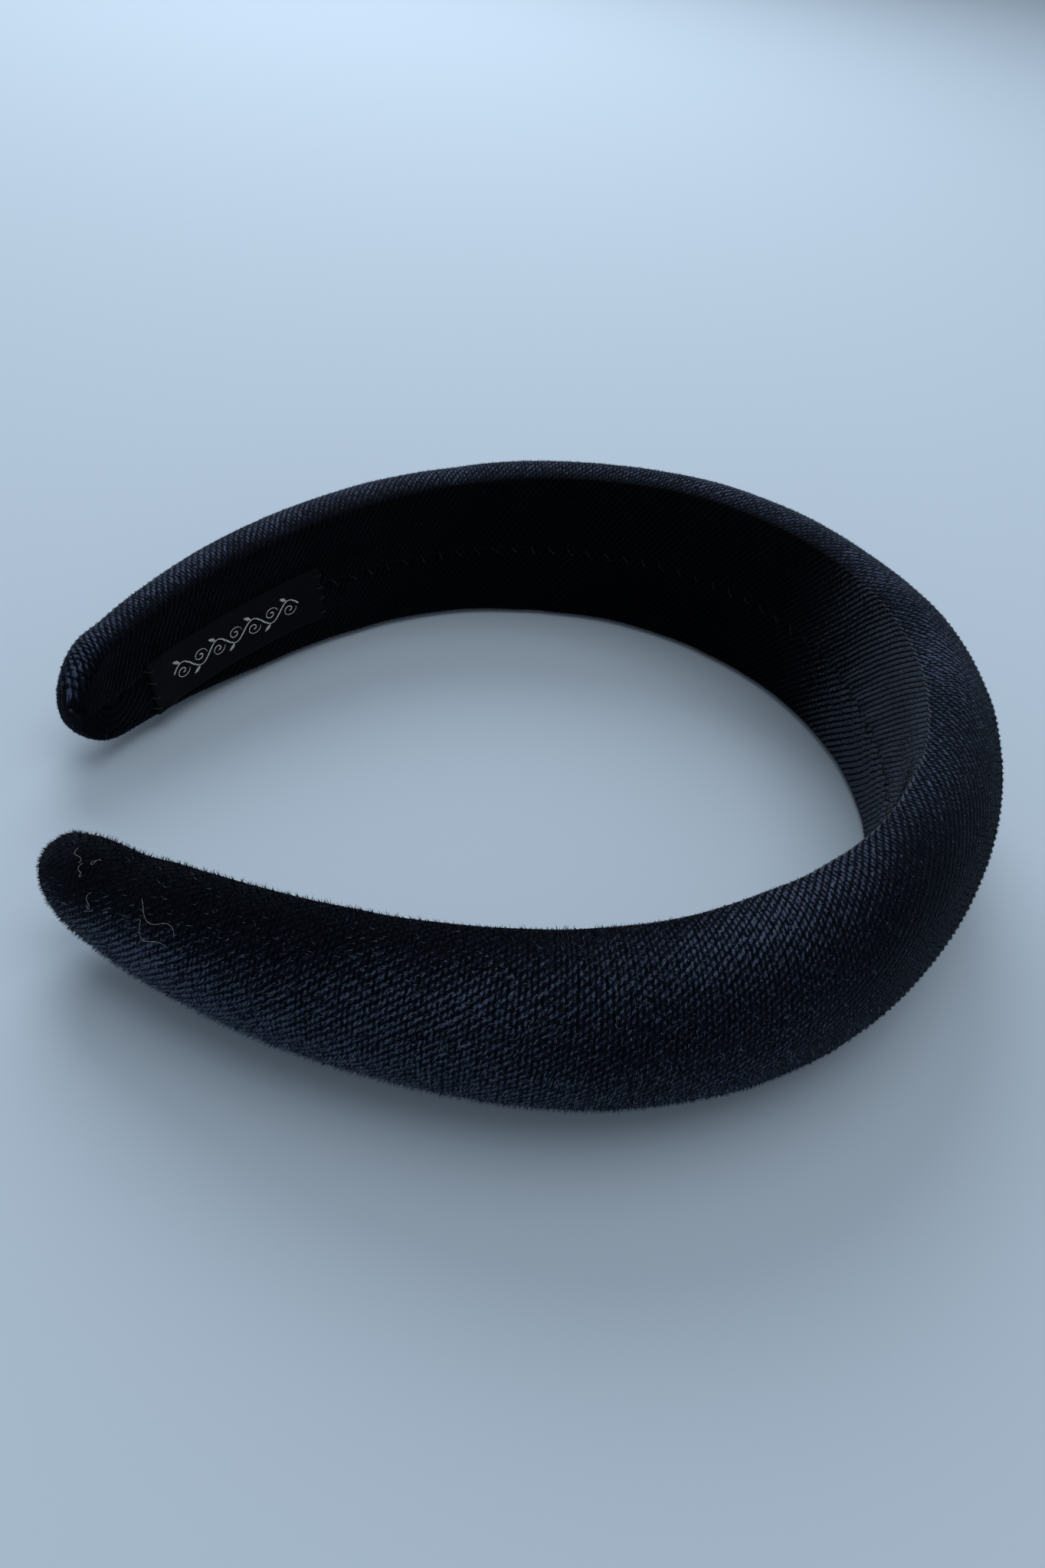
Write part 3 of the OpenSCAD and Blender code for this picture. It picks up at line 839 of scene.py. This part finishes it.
# ---------------------------------------------------------------- threads
def tube(path, radius, sides=6):
    """Points and faces of a round thread along a path, closed at both ends and tapered there."""
    path = np.asarray(path, float)
    tangent = unit(np.gradient(path, axis=0))
    side = unit(np.cross(tangent, np.array([0.31, 0.22, 0.93])))
    up = np.cross(tangent, side)
    angle = np.arange(sides) / sides * math.tau
    reach = np.full(len(path), radius)
    reach[[0, -1]] *= 0.35
    turn = angle[None, :, None]
    ring = np.cos(turn) * side[:, None] + np.sin(turn) * up[:, None]
    points = path[:, None] + ring * reach[:, None, None]
    faces = grid_faces(len(path), sides, wrap=True) + end_caps(len(path), sides)
    return points.reshape(-1, 3), faces


def threads(name, paths, radius, material):
    """One piece of several threads."""
    points, faces = [], []
    for path in paths:
        more, quads = tube(path, radius)
        first = sum(len(p) for p in points)
        points.append(more)
        faces += [[k + first for k in face] for face in quads]
    return new_mesh_object(name, np.concatenate(points), faces, material)


LABEL_LENGTH, LABEL_WIDTH, LABEL_FROM_TIP = 42.0, 12.0, 16.0
LABEL_MIDDLE = HALF_LENGTH - LABEL_FROM_TIP - LABEL_LENGTH / 2
LABEL_DROP, LABEL_LEAN = 2.4, math.radians(3.7)      # of its middle below the seam, and against the seam
LABEL_FOLD = 5.0          # turned under at each end
LABEL_WALL = 0.3


def make_seam(side_name):
    """Slip stitches across the seam, sunk in the pile."""
    side = SIDES[side_name]
    paths = []
    for k in range(int((HALF_LENGTH - TIP_ROUND) / STITCH_PITCH)):
        s = side * (k + 0.5) * STITCH_PITCH
        if side > 0 and abs(s - LABEL_MIDDLE) < LABEL_LENGTH / 2 + 1:
            continue
        reach = random.uniform(0.8, 1.3)
        slant = random.uniform(0.4, 1.1)
        across = np.linspace(-1, 1, 7)
        girth = np.interp(s, cover_stations, cover_girth[:, 0])
        base, normal = on_cover(s + across * slant, across * reach / girth)
        arch = (0.3 - 0.55 * across ** 2)[:, None]
        paths.append(base + normal * arch * MM)
    piece = threads("seam_thread_" + side_name, paths, SEAM_THREAD_RADIUS * MM, seam_thread_material)
    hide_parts("seam_thread_crown", "seam_thread_" + side_name + "_arm")
    bend_with_arm(piece)


# ---------------------------------------------------------------- the label
def label_place(a, b, depth):
    """A point of the label: a towards the tip, b across it, depth out from the cloth towards the head."""
    s = LABEL_MIDDLE + a * math.cos(LABEL_LEAN) + b * math.sin(LABEL_LEAN)
    z = -LABEL_DROP - a * math.sin(LABEL_LEAN) + b * math.cos(LABEL_LEAN)
    return place(s, -FACE_DEPTH - depth, z)


def label_depth(a, b):
    """Depth of the label's face over the cloth: it lies lower between its folded ends, a little wavy."""
    ends = 1 / (1 + np.exp((LABEL_LENGTH / 2 - LABEL_FOLD + 0.6 - np.abs(a)) / 0.5))
    waves = 0.14 * smooth_noise(a / 7 + 20, b / 7 + 20, seed=8)
    return 0.75 + 0.35 * ends + waves


def make_label():
    """The label as one strip of satin: its face, a turn round each end and the two folded ends under it."""
    end = LABEL_LENGTH / 2
    turn = np.linspace(0, math.pi, 9)[1:-1]
    gap = 0.22                # from the strip's middle to its turns' middle
    run = np.linspace(-end + gap, end - gap, 85)
    tail = np.linspace(end - gap, end - LABEL_FOLD, 10)
    round_end = end - gap + gap * np.sin(turn)
    a = np.concatenate([-tail[::-1], -round_end, run, round_end, tail])
    under_tail = np.ones(len(tail))
    under_turn = 0.5 - 0.5 * np.cos(turn)
    under = np.concatenate([under_tail, under_turn[::-1], np.zeros(len(run)), under_turn, under_tail])
    b = np.linspace(-LABEL_WIDTH / 2, LABEL_WIDTH / 2, 25)
    a_grid, b_grid = np.meshgrid(a, b, indexing="ij")
    depth = label_depth(a_grid, b_grid) - 2 * gap * under[:, None]
    points = label_place(a_grid, b_grid, depth)
    faces = grid_faces(len(a), len(b))
    piece = new_mesh_object("woven_label_cloth", points.reshape(-1, 3), faces, label_material)
    corners = np.array(faces).ravel()
    length_along = np.concatenate([[0], np.cumsum(np.hypot(np.diff(a), 2 * gap * np.diff(under)))])
    uv_along = np.repeat(length_along, len(b))[corners]
    set_cloth_uv(piece, np.stack([uv_along, b_grid.ravel()[corners]], -1) * MM)
    solid = piece.modifiers.new("thickness", "SOLIDIFY")
    solid.thickness = LABEL_WALL * MM
    solid.offset = 0
    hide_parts("woven_label")
    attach(piece, "left_arm")


def scroll_strokes():
    """The label's woven motif as strokes (a, b, width): a running scroll, with a curl and a leaf in each
    half wave."""
    length, half_waves, swing = 31.0, 7, 1.6
    run = np.linspace(0, 1, 120)
    phase = run * half_waves * math.pi
    stem_width = 0.14 + 0.2 * np.abs(np.cos(phase))
    strokes = [((run - 0.5) * length, swing * np.sin(phase), stem_width)]
    turn = np.linspace(0, 2.6 * math.pi, 40)
    curl_radius = 1.45 * (1 - turn / turn[-1]) + 0.22
    curl_width = np.linspace(0.1, 0.3, len(turn))
    leaf = np.linspace(0, 1, 16)
    leaf_width = 0.1 + 0.62 * np.sin(math.pi * leaf ** 0.8)
    for k in range(half_waves):
        up = 1 if k % 2 == 0 else -1
        centre_a = ((k + 0.5) / half_waves - 0.5) * length
        curl_a = centre_a + curl_radius * np.cos(turn + math.pi)
        curl_b = up * (-0.55 + curl_radius * np.sin(turn + math.pi) * 0.9)
        strokes.append((curl_a, curl_b, curl_width))
        leaf_a = centre_a + 0.5 + 1.5 * leaf
        leaf_b = up * (swing + 0.1 + 1.5 * leaf - 0.5 * leaf ** 2)
        strokes.append((leaf_a, leaf_b, leaf_width))
    return strokes


def make_motif():
    """Raised silver strokes on the label's face."""
    stroke_height, clear_of_satin = 0.09, 0.01
    points, faces = [], []
    for a, b, width in scroll_strokes():
        heading_a, heading_b = np.gradient(a), np.gradient(b)
        size = np.hypot(heading_a, heading_b)
        side_a, side_b = -heading_b / size, heading_a / size
        share = np.array([-1, -0.5, 0, 0.5, 1])
        grid_a = a[:, None] + side_a[:, None] * share * width[:, None] / 2
        grid_b = b[:, None] + side_b[:, None] * share * width[:, None] / 2
        rise = LABEL_WALL / 2 + stroke_height * (1 - share ** 2) + clear_of_satin
        first = sum(len(p) for p in points)
        points.append(label_place(grid_a, grid_b, label_depth(grid_a, grid_b) + rise).reshape(-1, 3))
        faces += grid_faces(len(a), len(share), first=first)
    piece = new_mesh_object("label_motif", np.concatenate(points), faces, silver_material)
    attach(piece, "left_arm")


def make_label_stitches():
    """Tacking stitches over the label's two ends. Each dips from the label down to the cover."""
    per_end = 4
    paths = []
    for end in (-1, 1):
        for k in range(per_end):
            b = LABEL_WIDTH * ((k + 0.5) / per_end - 0.5) + random.uniform(-0.4, 0.4)
            across = np.linspace(-1, 1, 7)
            a = end * (LABEL_LENGTH / 2 - 0.1) + across * 0.9
            cover_side = np.clip(a * end - LABEL_LENGTH / 2, 0, 1)
            depth = label_depth(a, b + 0 * a) + 0.25 - 0.9 * cover_side - 0.25 * across ** 4
            paths.append(label_place(a, b + 0.35 * across, depth))
    piece = threads("label_thread_stitches", paths, SEAM_THREAD_RADIUS * MM, seam_thread_material)
    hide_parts("label_thread")
    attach(piece, "left_arm")


# ---------------------------------------------------------------- lint
def make_lint(name, curls):
    """Loose pale fibres caught in the pile. Each curl is (s, share round, length, bend, heading)."""
    paths = []
    run = np.linspace(0, 1, 26)
    for s, share, length, bend, turn in curls:
        angle = turn + bend * (run - 0.3) ** 2 + 0.8 * np.sin(run * 7 + turn)
        step = length / len(run)
        ds = np.cumsum(np.cos(angle)) * step
        dt = np.cumsum(np.sin(angle)) * step
        girth = np.interp(s, cover_stations, cover_girth[:, 0])
        base, normal = on_cover(s + ds, share + dt / girth)
        lift = 0.55 + 0.5 * np.sin(run * math.pi)
        paths.append(base + normal * (lift * MM)[:, None])
    piece = threads(name, paths, LINT_RADIUS * MM, lint_material)
    bend_with_arm(piece)


for name in SIDES:
    make_cover(name)
    make_pile(name)
    make_foam(name)
    make_seam(name)
make_label()
make_motif()
make_label_stitches()
make_lint("lint_right", [
    (-186, 0.27, 3.2, 5.0, 0.4), (-184, 0.30, 3.0, 6.0, 0.9), (-182, 0.28, 2.4, 6.5, 2.2),
    (-181, 0.36, 4.0, 5.0, 1.2), (-173, 0.33, 9.0, 2.4, 0.1), (-172, 0.37, 7.0, -2.0, 0.6),
    (-52, 0.60, 3.5, 6.0, 0.5), (-50, 0.62, 6.0, -3.5, 0.2)])

# ---------------------------------------------------------------- the studio
def make_floor():
    material, nodes = new_material("floor", Roughness=0.9, Specular_IOR_Level=0.1)
    nodes.base_colour((0.36, 0.44, 0.53, 1))
    half = 3.0
    corners = [(-half, -half, 0), (half, -half, 0), (half, half, 0), (-half, half, 0)]
    ground = new_mesh_object("floor", corners, [[0, 1, 2, 3]], material)


def area_light(name, place_at, aim, size, power, colour):
    light = bpy.data.lights.new(name, "AREA")
    light.shape = "DISK"
    light.size = size
    light.energy = power
    light.color = colour
    lamp = bpy.data.objects.new(name, light)
    lamp.location = place_at
    lamp.rotation_euler = (Vector(aim) - Vector(place_at)).to_track_quat("-Z", "Y").to_euler()
    bpy.context.scene.collection.objects.link(lamp)


def camera():
    """The photograph's view: azimuth and elevation of the line of sight, and the roll about it."""
    azimuth, elevation, roll = math.radians(20.8), math.radians(42.9), math.radians(9.0)
    position = (-0.0579, -0.1510, 0.1533)
    data = bpy.data.cameras.new("camera")
    data.lens = 26.92
    data.sensor_width = 36
    data.clip_start = 0.005
    data.clip_end = 20
    eye = bpy.data.objects.new("camera", data)
    bpy.context.scene.collection.objects.link(eye)
    level_reach = math.cos(elevation)
    sight = Vector((math.sin(azimuth) * level_reach, math.cos(azimuth) * level_reach, -math.sin(elevation)))
    level = sight.cross(Vector((0, 0, 1))).normalized()
    right = Matrix.Rotation(-roll, 3, sight) @ level
    up = right.cross(sight)
    turn = Matrix((right, up, -sight)).transposed()
    eye.matrix_world = Matrix.Translation(position) @ turn.to_4x4()
    bpy.context.scene.camera = eye


def world():
    sky = bpy.data.worlds.new("studio")
    sky.use_nodes = True
    background = sky.node_tree.nodes["Background"]
    background.inputs["Color"].default_value = (0.86, 0.93, 1.0, 1)
    background.inputs["Strength"].default_value = 0.46
    bpy.context.scene.world = sky


make_floor()
area_light("window", (0.05, 0.8, 0.65), (0, 0, 0), 0.7, 7.5, (0.95, 0.98, 1.0))
area_light("ceiling", (0.15, 0.0, 1.0), (0, 0, 0), 0.9, 4, (1.0, 0.99, 0.97))
area_light("low_fill", (-0.25, -0.7, 0.1), (0, -0.05, 0.02), 0.4, 1.0, (0.9, 0.95, 1.0))
camera()
world()
bpy.context.scene.view_settings.view_transform = "Standard"
